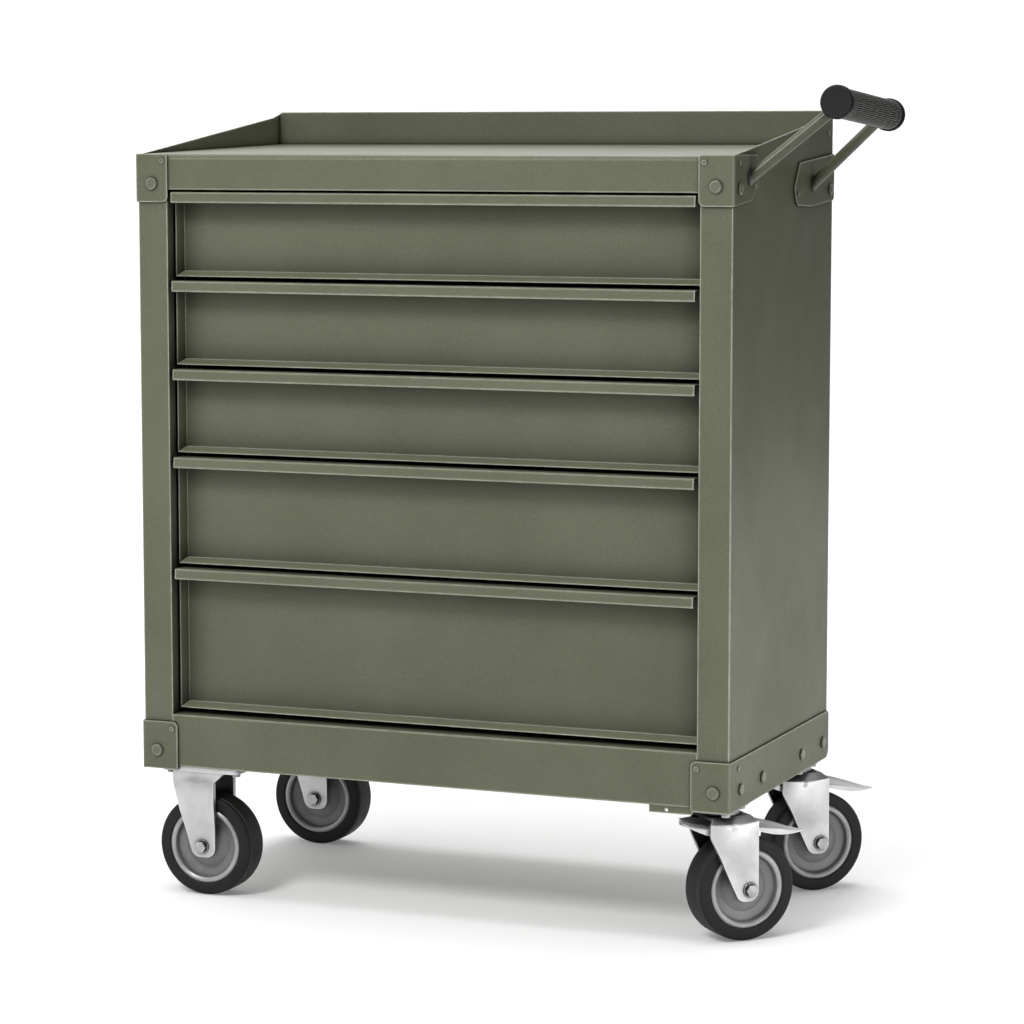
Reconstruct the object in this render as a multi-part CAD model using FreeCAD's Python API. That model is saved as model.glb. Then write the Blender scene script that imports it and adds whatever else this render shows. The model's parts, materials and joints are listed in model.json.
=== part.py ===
import FreeCAD, Part
import math
import os

# A rolling tool chest: a sheet-steel cabinet with five drawers, a lipped top tray, a push handle on its
# right and four castors, fixed on the left and swivelling with brakes on the right.
# Millimetres.  X runs across the drawers, Y from the front to the back, Z up from the floor.
# Everything is laid out about the middle of the cabinet's front, and export_parts then moves the whole
# chest so that the middle of its footprint stands at X = Y = 0.

V = FreeCAD.Vector

# Cabinet
WIDTH = 760.0
DEPTH = 386.0
BASE_Z = 162.0
RAIL_TOP_Z = 227.0
FASCIA_BOTTOM_Z = 870.0
TRAY_FRONT_Z = 913.0
TRAY_REAR_Z = 924.0
BACK_LIP_Z = 966.0
SHEET = 1.5
SIDE_LIP = [(SHEET, 912.5), (366.0, 958.5), (DEPTH - SHEET, 963.0)]
POST_WIDTH = 39.0
POST_DEPTH = 40.0
POST_TOP_Z = 907.5
FOLD_RADIUS = 5.0
RAIL_RADIUS = 7.0
RAIL_DEPTH = 60.0
HALF = WIDTH / 2
OPENING = HALF - POST_WIDTH

# Corner caps and the skirts that two of them carry along the sides
CAP = 2.5
CAP_WIDTH = 43.0
UPPER_CAP_Z = (855.0, 913.5)
LOWER_CAP_WIDTH = 48.5
SKIRT_Z = (158.0, 217.5)
BOLT_RADIUS = 7.5
BOLT_HEIGHT = 3.2
RIVET_RADIUS = 3.2
RIVET_HEIGHT = 1.4

# Drawers, from the top one down
DRAWER_HEIGHTS = [103.0, 103.0, 103.0, 132.5, 175.0]
DRAWER_GAP = 4.5
TOP_GAP = 2.5
FRONT_HALF = HALF - 41.5
PULL_HALF = FRONT_HALF - 3.0
RIM_Y = 15.5
PANEL_Y = 29.5
FRONT_BACK_Y = 30.7
RIM = 1.2
SIDE_BORDER = 5.2
BOTTOM_BORDER = 6.8
PULL_TOP_Y = -1.0
PULL_LOW_Y = -2.0
PULL_DROP = 13.5
PAN_HALF = 327.0
PAN_BACK_Y = 360.0
PAN_SHEET = 1.2
PAN_LIFT = 8.0
PAN_HEADROOM = 34.0
DRAWER_TRAVEL = 270.0

# Drawer runners: a cabinet channel each side, with the drawer's own channel nested inside it
RUNNER = 1.2
RUNNER_FRONT_Y = 46.0
RUNNER_BACK_Y = 374.0
RUNNER_HALF_HEIGHT = 18.0
RUNNER_REACH = 9.0
RUNNER_LIFT = 26.0
UPRIGHT_WIDTH = 28.0
UPRIGHT_DEPTH = 36.0
UPRIGHT_Y = [44.0, 342.0]

# Push handle
ARM_RADIUS = 6.5
CORE_RADIUS = 11.0
GRIP_RADIUS = 17.6
GRIP_CAP_RADIUS = 19.5
GRIP_CAP_LENGTH = 9.0
GRIP_FRONT = V(481.0, 62.0, 973.0)
GRIP_REAR = V(481.0, 284.0, 959.5)
ARM_INSET = 21.0
ARM_FEET = [V(HALF + CAP, 54.0, 887.0), V(HALF + CAP, 297.0, 877.0)]

# Castors
WHEEL_RADIUS = 62.5
WHEEL_WIDTH = 40.0
RIM_RADIUS = 47.5
AXLE_RADIUS = 4.0
RUNNING_CLEARANCE = 0.05
FORK_INNER = 24.0
FORK_SHEET = 3.0
FORK_OUTER = FORK_INNER + FORK_SHEET
WASHER_RADIUS = 9.0
NUT_ACROSS_FLATS = 13.0
FIXED_X = -306.0
FIXED_Y = [33.0, DEPTH - 33.0]
SWIVEL_X = 359.0
SWIVEL_Y = [38.0, 320.0]
SWIVEL_ANGLES = [47.0, 43.0]
TRAIL = 24.0
GUSSET_Z = 160.0
PLATE_BOTTOM_Z = 156.0
RACE_BOTTOM_Z = 151.0
RACE_RADIUS = 21.0
CROWN_TOP_Z = 150.6
CROWN_FOOT_Z = 143.0
KINGPIN_RADIUS = 6.0
KINGPIN_END_Z = 146.8
PEDAL_PIVOT = (0.0, 137.5)
PEDAL_PIN_RADIUS = 3.0


# ---------------------------------------------------------------- building blocks

def box(x0, x1, y0, y1, z0, z1):
    return Part.makeBox(x1 - x0, y1 - y0, z1 - z0, V(x0, y0, z0))


def rod(start, end, radius):
    return Part.makeCylinder(radius, (end - start).Length, start, end - start)


def place(u, v, w, normal):
    """A point from two coordinates in a plate's plane and one along the plate's normal."""
    if normal == "x":
        return V(w, u, v)
    if normal == "y":
        return V(u, w, v)
    return V(u, v, w)


def plate(points, normal, low, high, radii=None):
    """A flat plate between low and high on its normal, each outline corner rounded by its radius."""
    count = len(points)
    radii = radii or [0.0] * count
    corners = []
    for i, point in enumerate(points):
        corner = V(point[0], point[1], 0)
        before = V(points[i - 1][0], points[i - 1][1], 0) - corner
        after = V(points[(i + 1) % count][0], points[(i + 1) % count][1], 0) - corner
        before.normalize()
        after.normalize()
        if radii[i] == 0.0:
            corners.append([corner])
            continue
        half_angle = before.getAngle(after) / 2
        inward = (before + after).normalize()
        reach = radii[i] / math.tan(half_angle)
        middle = corner + inward * (radii[i] / math.sin(half_angle) - radii[i])
        corners.append([corner + before * reach, middle, corner + after * reach])
    edges = []
    for i, corner in enumerate(corners):
        spots = [place(p.x, p.y, low, normal) for p in corner]
        if len(spots) == 3:
            edges.append(Part.Arc(*spots).toShape())
        start = corners[(i + 1) % count][0]
        if (corner[-1] - start).Length > 1e-6:
            edges.append(Part.makeLine(spots[-1], place(start.x, start.y, low, normal)))
    face = Part.Face(Part.Wire(edges))
    return face.extrude(place(0, 0, high - low, normal))


def ribbon(points, thickness):
    """The closed outline of a sheet that follows points and is thickened to the left of its path."""
    offsets = []
    last = len(points) - 1
    for i, (u, v) in enumerate(points):
        normals = []
        for a, b in ((i - 1, i), (i, i + 1)):
            if a < 0 or b > last:
                continue
            du = points[b][0] - points[a][0]
            dv = points[b][1] - points[a][1]
            length = math.hypot(du, dv)
            normals.append((-dv / length, du / length))
        nu = sum(n[0] for n in normals) / len(normals)
        nv = sum(n[1] for n in normals) / len(normals)
        scale = thickness / (nu * nu + nv * nv)
        offsets.append((u + nu * scale, v + nv * scale))
    return list(points) + offsets[::-1]


def arc_points(centre, radius, start_degrees, end_degrees, steps=6):
    points = []
    for i in range(steps + 1):
        angle = math.radians(start_degrees + (end_degrees - start_degrees) * i / steps)
        points.append((centre[0] + radius * math.cos(angle), centre[1] + radius * math.sin(angle)))
    return points


def loft(lower, upper):
    """A solid between two closed outlines, each a list of points."""
    wires = [Part.makePolygon(list(points) + [points[0]]) for points in (lower, upper)]
    return Part.makeLoft(wires, True, True)


def rectangle_z(x0, x1, y0, y1, z):
    return [V(x0, y0, z), V(x1, y0, z), V(x1, y1, z), V(x0, y1, z)]


def rectangle_y(x0, x1, z0, z1, y):
    return [V(x0, y, z0), V(x1, y, z0), V(x1, y, z1), V(x0, y, z1)]


def turned(profile):
    """A solid of revolution about Y from (radius, y) points."""
    wire = Part.makePolygon([V(r, y, 0) for r, y in profile] + [V(profile[0][0], profile[0][1], 0)])
    return Part.Face(wire).revolve(V(0, 0, 0), V(0, 1, 0), 360)


def dome(radius, height, centre, direction):
    """A low round fastener head that stands on centre and faces along direction."""
    ball_radius = (radius * radius + height * height) / (2 * height)
    ball = Part.makeSphere(ball_radius, V(0, 0, height - ball_radius))
    head = ball.common(Part.makeCylinder(radius, height))
    head.Placement = FreeCAD.Placement(centre, FreeCAD.Rotation(V(0, 0, 1), direction))
    return head


def hexagon(across_flats, height, start, direction):
    corner_radius = across_flats / math.sqrt(3)
    points = [(corner_radius * math.cos(math.radians(a)), corner_radius * math.sin(math.radians(a)))
              for a in range(0, 360, 60)]
    nut = plate(points, "z", 0.0, height)
    nut.Placement = FreeCAD.Placement(start, FreeCAD.Rotation(V(0, 0, 1), direction))
    return nut


def fused(shapes):
    return shapes[0].multiFuse(shapes[1:]).removeSplitter()


def mirrored(shape):
    return shape.mirror(V(0, 0, 0), V(1, 0, 0))


# ---------------------------------------------------------------- cabinet

def right_side_panel():
    """A flat side whose sloping top edge is the tray's side lip."""
    rear = DEPTH - SHEET
    return plate([(SHEET, BASE_Z), (rear, BASE_Z)] + SIDE_LIP[::-1], "x", HALF - SHEET, HALF)


def back_panel():
    """The back, which carries on above the tray as its tall back lip."""
    outline = [(-HALF, BASE_Z), (HALF, BASE_Z), (HALF, BACK_LIP_Z), (-HALF, BACK_LIP_Z)]
    return plate(outline, "y", DEPTH - SHEET, DEPTH, [0.0, 0.0, 7.0, 7.0])


def bottom_pan():
    """The floor under the lowest drawer, notched round the posts, with flanges at its back and sides."""
    inner = HALF - SHEET
    rear = DEPTH - SHEET
    flange_top = BASE_Z + 22.0
    notch = OPENING - 2.0
    front = 2 * SHEET
    outline = [(-notch, front), (notch, front), (notch, POST_DEPTH), (inner, POST_DEPTH), (inner, rear),
               (-inner, rear), (-inner, POST_DEPTH), (-notch, POST_DEPTH)]
    floor = plate(outline, "z", BASE_Z, BASE_Z + SHEET)
    back = box(-inner, inner, rear - SHEET, rear, BASE_Z, flange_top)
    sides = [box(x, x + SHEET, POST_DEPTH, rear, BASE_Z, flange_top) for x in (-inner, inner - SHEET)]
    return fused([floor, back] + sides)


def top_tray():
    """The tray's floor, which climbs gently to the back, its rounded front fold and the fascia."""
    inner = HALF - SHEET
    rear = DEPTH - SHEET - 0.1
    centre = (FOLD_RADIUS, TRAY_FRONT_Z - FOLD_RADIUS)
    fold = [(rear, TRAY_REAR_Z)] + arc_points(centre, FOLD_RADIUS, 90, 180)
    floor = plate(ribbon(fold, SHEET), "x", -inner, inner)
    fascia_line = [(0.0, TRAY_FRONT_Z - FOLD_RADIUS), (0.0, FASCIA_BOTTOM_Z), (15.0, FASCIA_BOTTOM_Z)]
    fascia = plate(ribbon(fascia_line, SHEET), "x", -OPENING, OPENING)
    return fused([floor, fascia])


def right_post():
    """A folded corner post: front face, the return beside the drawers and a narrow inner flange."""
    path = [(HALF, 0.0), (OPENING, 0.0), (OPENING, POST_DEPTH), (HALF - 12, POST_DEPTH)]
    outline = ribbon(path, -SHEET)
    return plate(outline, "z", BASE_Z, POST_TOP_Z)


def bottom_rail():
    centre = (RAIL_RADIUS, RAIL_TOP_Z - RAIL_RADIUS)
    path = [(18.0, BASE_Z), (0.0, BASE_Z)] + arc_points(centre, RAIL_RADIUS, 180, 90)
    path = path + [(RAIL_DEPTH, RAIL_TOP_Z), (RAIL_DEPTH, RAIL_TOP_Z - 12)]
    rail = plate(ribbon(path, -SHEET), "x", -OPENING, OPENING)
    pan_edge = box(-HALF, HALF, 2 * SHEET, 30.0, BASE_Z, BASE_Z + SHEET)
    return rail.cut(pan_edge)


def upper_right_cap():
    low, high = UPPER_CAP_Z
    outer = HALF + CAP
    front_outline = [(outer, low), (outer, high), (outer - CAP_WIDTH, high), (outer - CAP_WIDTH, low)]
    front = plate(front_outline, "y", -CAP, 0.0, [0.0, 0.0, 4.0, 7.0])
    side_outline = [(-CAP, low), (62.0, low + 6), (84.0, low + 24), (84.0, high), (-CAP, high)]
    side = plate(side_outline, "x", HALF, outer, [0.0, 6.0, 10.0, 5.0, 0.0])
    return rounded_fold(fused([front, side]), outer, low, high)


def upper_left_cap():
    low, high = UPPER_CAP_Z
    outer = HALF + CAP
    front_outline = [(outer, low), (outer, high), (outer - CAP_WIDTH, high), (outer - CAP_WIDTH, low)]
    front = plate(front_outline, "y", -CAP, 0.0, [0.0, 0.0, 4.0, 7.0])
    side_outline = [(-CAP, low), (42.0, low), (42.0, high), (-CAP, high)]
    side = plate(side_outline, "x", HALF, outer, [0.0, 7.0, 4.0, 0.0])
    return mirrored(rounded_fold(fused([front, side]), outer, low, high))


def rounded_fold(cap, outer, low, high):
    """Round the vertical edge where a cap is folded round the cabinet's front corner."""
    radius = 2.4
    square = box(outer - radius, outer, -CAP, -CAP + radius, low - 1, high + 1)
    round_bar = Part.makeCylinder(radius, high - low + 2, V(outer - radius, -CAP + radius, low - 1))
    return cap.cut(square.cut(round_bar))


def lower_right_cap():
    """A front flange on the corner that carries on as a skirt along the whole side."""
    low, high = SKIRT_Z
    outer = HALF + CAP
    front_outline = [(outer, low), (outer, high), (outer - LOWER_CAP_WIDTH, high),
                     (outer - LOWER_CAP_WIDTH, low)]
    front = plate(front_outline, "y", -CAP, 0.0, [0.0, 0.0, 7.0, 3.0])
    side_outline = [(-CAP, low), (DEPTH + 1, low), (DEPTH + 1, high), (-CAP, high)]
    side = plate(side_outline, "x", HALF, outer, [0.0, 12.0, 6.0, 0.0])
    return rounded_fold(fused([front, side]), outer, low, high)


def rear_handle_bracket():
    """The plate on the right side that the rear arm of the handle is welded to."""
    outline = [(246.0, 903.0), (DEPTH, 913.0), (DEPTH, 856.0), (292.0, 850.0), (236.0, 852.0), (224.0, 872.0)]
    return plate(outline, "x", HALF, HALF + CAP, [7.0, 3.0, 6.0, 20.0, 12.0, 10.0])


def front_fasteners(radius, height, upper_spots, lower_spots):
    """Heads on the front flanges of the four caps, given from each cap's outer edge and bottom."""
    heads = []
    outer = HALF + CAP
    for bottom, spots in ((UPPER_CAP_Z[0], upper_spots), (SKIRT_Z[0], lower_spots)):
        for inset, rise in spots:
            for side in (-1, 1):
                centre = V(side * (outer - inset), -CAP, bottom + rise)
                heads.append(dome(radius, height, centre, V(0, -1, 0)))
    return heads


def side_fasteners(radius, height, right_spots, shared_spots):
    """Heads on the side flanges: right_spots only on the handle's side, shared_spots on both."""
    heads = []
    outer = HALF + CAP
    for y, z in right_spots + shared_spots:
        heads.append(dome(radius, height, V(outer, y, z), V(1, 0, 0)))
    for y, z in shared_spots:
        heads.append(dome(radius, height, V(-outer, y, z), V(-1, 0, 0)))
    return heads


def cap_bolts():
    skirt_z = SKIRT_Z[0] + 23
    skirt_spots = [(y, skirt_z) for y in (35.0, 117.0, 272.0, 360.0)]
    front = front_fasteners(BOLT_RADIUS, BOLT_HEIGHT, [(22.0, 22.5)], [(20.5, 23.5)])
    side = side_fasteners(BOLT_RADIUS - 0.7, BOLT_HEIGHT, [(368.0, 870.0)], [(16.0, 875.0)] + skirt_spots)
    return Part.makeCompound(front + side)


def cap_rivets():
    front = front_fasteners(RIVET_RADIUS, RIVET_HEIGHT, [(36.0, 50.0)], [(41.0, 50.5)])
    side = side_fasteners(RIVET_RADIUS, RIVET_HEIGHT,
                          [(71.0, 877.0), (239.0, 866.0), (371.0, 902.0)],
                          [(16.0, 904.0), (27.0, 207.0)])
    lip_rivet = dome(RIVET_RADIUS, RIVET_HEIGHT, V(HALF, 367.0, 938.0), V(1, 0, 0))
    return Part.makeCompound(front + side + [lip_rivet])


# ---------------------------------------------------------------- drawers and their runners

def drawer_tops():
    """Height of each drawer's top edge, from the top drawer down."""
    tops = []
    top = FASCIA_BOTTOM_Z - TOP_GAP
    for height in DRAWER_HEIGHTS:
        tops.append(top)
        top = top - height - DRAWER_GAP
    return tops


def drawer_levels():
    """For each drawer: its top, its front's bottom edge, its pan's floor and its pan's rim."""
    levels = []
    for top, height in zip(drawer_tops(), DRAWER_HEIGHTS):
        bottom = top - height
        pan_floor = bottom + PAN_LIFT
        levels.append((top, bottom, pan_floor, pan_floor + height - PAN_HEADROOM))
    return levels


def drawer_front(top, bottom):
    """A front whose panel is sunk behind sloping borders at its sides and bottom."""
    high = top - SHEET
    slab = box(-FRONT_HALF, FRONT_HALF, RIM_Y, FRONT_BACK_Y, bottom, high)
    mouth = FRONT_HALF - RIM
    floor = FRONT_HALF - SIDE_BORDER
    above = high + 30.0
    dish = loft(rectangle_y(-mouth, mouth, bottom + RIM, above, RIM_Y),
                rectangle_y(-floor, floor, bottom + BOTTOM_BORDER, above, PANEL_Y))
    return slab.cut(dish)


def drawer_pull(top):
    """A folded rail along the drawer's top edge: a flat top, a face that slants out and a bottom hem."""
    low = top - PULL_DROP
    path = [(FRONT_BACK_Y, top), (PULL_TOP_Y, top), (PULL_LOW_Y, low), (PULL_LOW_Y + 5.0, low + 0.6)]
    return plate(ribbon(path, SHEET), "x", -PULL_HALF, PULL_HALF)


def drawer_pan(floor_z, rim_z):
    """The open box of the drawer."""
    outside = box(-PAN_HALF, PAN_HALF, FRONT_BACK_Y, PAN_BACK_Y, floor_z, rim_z)
    inside = box(-PAN_HALF + PAN_SHEET, PAN_HALF - PAN_SHEET, FRONT_BACK_Y + PAN_SHEET,
                 PAN_BACK_Y - PAN_SHEET, floor_z + PAN_SHEET, rim_z + 10)
    return outside.cut(inside)


def cabinet_runner(level):
    """The channel fixed to the cabinet, open towards the drawer, on the right."""
    outer = OPENING
    inner = outer - RUNNER_REACH
    half = RUNNER_HALF_HEIGHT
    lip = 5.0
    path = [(inner, level + half - lip), (inner, level + half), (outer, level + half),
            (outer, level - half), (inner, level - half), (inner, level - half + lip)]
    return plate(ribbon(path, -RUNNER), "y", RUNNER_FRONT_Y, RUNNER_BACK_Y)


def drawer_runner(level):
    """The channel riveted to the drawer's side, whose lips are held inside the cabinet's channel."""
    web = PAN_HALF
    tip = OPENING - RUNNER - 1.3
    flange = 12.0
    lip_top = RUNNER_HALF_HEIGHT - RUNNER - 0.4
    path = [(tip, level + lip_top), (tip, level + flange), (web, level + flange),
            (web, level - flange), (tip, level - flange), (tip, level - lip_top)]
    return plate(ribbon(path, RUNNER), "y", RUNNER_FRONT_Y, PAN_BACK_Y)


def runner_pair(build, level):
    right = build(level)
    return Part.makeCompound([right, mirrored(right)])


def runner_uprights():
    """Four channels inside the cabinet that the runners are screwed to."""
    uprights = []
    for front in UPRIGHT_Y:
        path = [(OPENING + UPRIGHT_DEPTH, front), (OPENING, front), (OPENING, front + UPRIGHT_WIDTH),
                (OPENING + UPRIGHT_DEPTH, front + UPRIGHT_WIDTH)]
        upright = plate(ribbon(path, -SHEET), "z", BASE_Z + 24.0, FASCIA_BOTTOM_Z + 30.0)
        uprights = uprights + [upright, mirrored(upright)]
    return Part.makeCompound(uprights)


# ---------------------------------------------------------------- push handle

def grip_axis():
    axis = GRIP_REAR - GRIP_FRONT
    return axis.normalize()


def arm_tops():
    axis = grip_axis()
    return [GRIP_FRONT + axis * ARM_INSET, GRIP_REAR - axis * ARM_INSET]


def handle_arms(radius):
    """The two arms as rods that start in the cabinet's side and end on the grip's axis."""
    arms = []
    for foot, top in zip(ARM_FEET, arm_tops()):
        direction = (top - foot).normalize()
        arms.append(rod(foot - direction * 15.0, top, radius))
    return arms


def handle_frame():
    """Both arms, cut square to the side plates they are welded to, and the core inside the grip."""
    axis = grip_axis()
    core = rod(GRIP_FRONT + axis * GRIP_CAP_LENGTH, GRIP_REAR - axis * GRIP_CAP_LENGTH, CORE_RADIUS)
    weld_beads = []
    for foot, top in zip(ARM_FEET, arm_tops()):
        bead = Part.makeCylinder(ARM_RADIUS + 3.0, 1.6, foot + V(0, 0, 1.0), V(1, 0, 0))
        weld_beads.append(bead)
    inboard = box(HALF - 60, HALF + CAP, 0, DEPTH, 800, 1000)
    return fused([core] + handle_arms(ARM_RADIUS) + weld_beads).cut(inboard)


def handle_grip():
    axis = grip_axis()
    start = GRIP_FRONT + axis * GRIP_CAP_LENGTH
    end = GRIP_REAR - axis * GRIP_CAP_LENGTH
    return rod(start, end, GRIP_RADIUS).cut([rod(start, end, CORE_RADIUS)] + handle_arms(ARM_RADIUS))


def grip_end_caps():
    axis = grip_axis()
    caps = []
    for start in (GRIP_FRONT, GRIP_REAR - axis * GRIP_CAP_LENGTH):
        cap = rod(start, start + axis * GRIP_CAP_LENGTH, GRIP_CAP_RADIUS)
        ends = [edge for edge in cap.Edges if edge.Curve.TypeId == "Part::GeomCircle"]
        caps.append(cap.makeFillet(2.0, ends))
    return Part.makeCompound(caps)


# ---------------------------------------------------------------- castors
# A castor is made about its own plate centre, trailing towards +X, with its axle along Y.

def tyre():
    half = WHEEL_WIDTH / 2
    crown = 1.2
    shoulder = 4.0
    groove = 5.5
    outer = WHEEL_RADIUS - crown
    profile = [(RIM_RADIUS, -half + 1), (RIM_RADIUS, half - 1), (RIM_RADIUS + 2, half)]
    profile += [(outer - shoulder, half), (outer - 1.0, half - 1.6), (outer, half - shoulder),
                (outer - 0.8, half - groove), (outer + 0.3, half - groove - 1.2),
                (WHEEL_RADIUS, 0.0),
                (outer + 0.3, -half + groove + 1.2), (outer - 0.8, -half + groove),
                (outer, -half + shoulder), (outer - 1.0, -half + 1.6), (outer - shoulder, -half),
                (RIM_RADIUS + 2, -half)]
    return turned(profile)


def hub():
    """A rim with a raised outer ring, a disc that is dished on both faces and a boss round the bore."""
    half = WHEEL_WIDTH / 2
    bore = AXLE_RADIUS + RUNNING_CLEARANCE
    face = [(bore, half + 2.5), (15.0, half + 2.5), (17.0, half - 4.0), (28.0, half - 10.0),
            (39.0, half - 8.0), (41.0, half - 1.5), (43.0, half), (RIM_RADIUS - 1, half - 0.5)]
    profile = face + [(RIM_RADIUS, half - 1), (RIM_RADIUS, -half + 1)]
    profile += [(r, -y) for r, y in reversed(face)]
    return turned(profile)


def wheel_pin(reach):
    """An axle bolt with its head, its nut and a washer under each, all centred on the axle line."""
    washer = 1.6
    head = 5.0
    hole = AXLE_RADIUS
    shank = Part.makeCylinder(hole, 2 * reach + 2 * washer + head + 3, V(0, -reach - washer, 0), V(0, 1, 0))
    bolt_head = hexagon(NUT_ACROSS_FLATS, head, V(0, -reach - washer, 0), V(0, -1, 0))
    bolt = fused([shank, bolt_head])
    washers = []
    for start in (-reach - washer, reach):
        ring = Part.makeCylinder(WASHER_RADIUS, washer, V(0, start, 0), V(0, 1, 0))
        washers.append(ring.cut(shank))
    nut = hexagon(NUT_ACROSS_FLATS, head, V(0, reach + washer, 0), V(0, 1, 0)).cut(shank)
    return [bolt, nut] + washers


def fork_leg(outline, radii, side):
    """One leg of a fork, on the -Y side or the +Y side."""
    low, high = sorted((side * FORK_INNER, side * FORK_OUTER))
    return plate(outline, "y", low, high, radii)


def axle_hole(x, z):
    hole = AXLE_RADIUS + 0.2
    return Part.makeCylinder(hole, 2 * FORK_OUTER + 20, V(x, -FORK_OUTER - 10, z), V(0, 1, 0))


def fixed_fork():
    """A flared crown under the mounting plate with two tapering legs."""
    left, right, axle = -40.0, 18.0, 0.0
    top = PLATE_BOTTOM_Z
    foot = CROWN_FOOT_Z
    flare = loft(rectangle_z(left, right, -FORK_OUTER, FORK_OUTER, foot),
                 rectangle_z(-38.0, 32.0, -FORK_OUTER - 3, FORK_OUTER + 3, top))
    hollow = loft(rectangle_z(left + 3, right + 40, -FORK_INNER, FORK_INNER, foot),
                  rectangle_z(-35.0, 80.0, -FORK_INNER, FORK_INNER, top - FORK_SHEET))
    outline = [(left, foot), (right, foot), (right, 49.0), (-12.0, 49.0)]
    legs = [fork_leg(outline, [0.0, 0.0, 12.0, 12.0], side) for side in (-1, 1)]
    return fused([flare.cut(hollow)] + legs).cut(axle_hole(axle, WHEEL_RADIUS))


def swivel_fork():
    left, right = -28.0, 35.0
    top = CROWN_TOP_Z
    foot = CROWN_FOOT_Z
    flare = loft(rectangle_z(left, right, -FORK_OUTER, FORK_OUTER, foot),
                 rectangle_z(-24.0, 26.0, -FORK_OUTER + 4, FORK_OUTER - 4, top))
    hollow = box(left - 1, right + 1, -FORK_INNER, FORK_INNER, foot - 1, top - FORK_SHEET)
    outline = [(left, foot), (right, foot), (right, 49.0), (10.0, 49.0), (left, 128.0)]
    legs = [fork_leg(outline, [0.0, 0.0, 12.0, 12.0, 14.0], side) for side in (-1, 1)]
    kingpin_hole = Part.makeCylinder(KINGPIN_RADIUS + RUNNING_CLEARANCE, 20, V(0, 0, top - 12))
    pin_hole = Part.makeCylinder(PEDAL_PIN_RADIUS + 0.2, 2 * FORK_OUTER + 2,
                                 V(PEDAL_PIVOT[0], -FORK_OUTER - 1, PEDAL_PIVOT[1]), V(0, 1, 0))
    holes = [kingpin_hole, pin_hole, axle_hole(TRAIL, WHEEL_RADIUS)]
    return fused([flare.cut(hollow)] + legs).cut(holes)


def swivel_gusset():
    """The thin reinforcing sheet above a swivel castor's plate, with a small holed tab in front."""
    inner, outer, front = -77.0, 21.0, -36.0
    outline = [(inner, front), (outer, front), (outer, 85.0), (-32.0, 85.0), (inner, 50.0)]
    sheet = plate(outline, "z", GUSSET_Z, BASE_Z)
    tab = box(inner, -24.0, front, front + SHEET, GUSSET_Z - 7.0, GUSSET_Z)
    hole = Part.makeCylinder(1.8, 10, V(-55.5, front - 5.0, GUSSET_Z - 3.5), V(0, 1, 0))
    return fused([sheet, tab]).cut(hole)


def swivel_mount():
    """The mounting plate above a swivel fork, with the upper race and the kingpin."""
    outline = [(-52.0, -34.0), (21.0, -34.0), (21.0, 40.0), (-52.0, 40.0)]
    mounting = plate(outline, "z", PLATE_BOTTOM_Z, GUSSET_Z, [5.0] * 4)
    race = Part.makeCylinder(RACE_RADIUS, PLATE_BOTTOM_Z - RACE_BOTTOM_Z, V(0, 0, RACE_BOTTOM_Z))
    kingpin = Part.makeCylinder(KINGPIN_RADIUS, PLATE_BOTTOM_Z - KINGPIN_END_Z, V(0, 0, KINGPIN_END_Z))
    return fused([mounting, race, kingpin])


def fixed_mount():
    """The flat mounting plate above a fixed fork."""
    outline = [(-52.0, -31.0), (52.0, -31.0), (52.0, 31.0), (-52.0, 31.0)]
    return plate(outline, "z", PLATE_BOTTOM_Z, BASE_Z, [5.0] * 4)


def brake_pedal():
    """A rocking pedal across the fork: a long pointed end that trails and a short wide tongue."""
    profile = [(-50.0, 146.5), (-32.0, 146.0), (-18.0, 144.0), (22.0, 144.0), (45.0, 139.8), (69.0, 134.0),
               (95.0, 125.0), (109.0, 121.8), (108.0, 120.8), (96.0, 119.2), (67.0, 121.3), (45.0, 127.4),
               (34.0, 130.5), (-10.0, 130.0), (-27.0, 129.0), (-50.0, 139.0)]
    body = plate(profile, "y", -30.0, 30.0)
    plan = [(-50.0, -15.0), (-32.0, -20.0), (30.0, -20.0), (64.0, -14.0), (109.0, -1.5),
            (109.0, 1.5), (64.0, 14.0), (30.0, 20.0), (-32.0, 20.0), (-50.0, 15.0)]
    outer = body.common(plate(plan, "z", 100.0, 160.0))
    wall = 2.2
    inner_profile = [(-46.0, 146.4 - wall), (-32.0, 146.0 - wall), (-18.0, 144.0 - wall), (22.0, 144.0 - wall),
                     (45.0, 139.8 - wall), (69.0, 134.0 - wall), (88.0, 127.4 - wall), (88.0, 112.0),
                     (-46.0, 112.0)]
    inner_plan = [(-55.0, -12.0), (-32.0, -17.6), (29.0, -17.6), (62.0, -11.6), (88.0, -4.4),
                  (88.0, 4.4), (62.0, 11.6), (29.0, 17.6), (-32.0, 17.6), (-55.0, 12.0)]
    hollow = plate(inner_profile, "y", -30.0, 30.0).common(plate(inner_plan, "z", 100.0, 160.0))
    pin_hole = Part.makeCylinder(PEDAL_PIN_RADIUS + RUNNING_CLEARANCE, 60,
                                 V(PEDAL_PIVOT[0], -30, PEDAL_PIVOT[1]), V(0, 1, 0))
    return outer.cut([hollow, pin_hole])


def swivel_pins():
    """The axle bolt set and the pin that the pedal rocks on."""
    offset = V(TRAIL, 0, WHEEL_RADIUS)
    pins = [solid.translated(offset) for solid in wheel_pin(FORK_OUTER)]
    pins.append(Part.makeCylinder(PEDAL_PIN_RADIUS, 2 * FORK_OUTER + 3,
                                  V(PEDAL_PIVOT[0], -FORK_OUTER - 1.5, PEDAL_PIVOT[1]), V(0, 1, 0)))
    return pins


def at_castor(shape, x, y, angle=0.0):
    placed = shape.copy()
    placed.rotate(V(0, 0, 0), V(0, 0, 1), angle)
    placed.translate(V(x, y, 0))
    return placed


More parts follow.
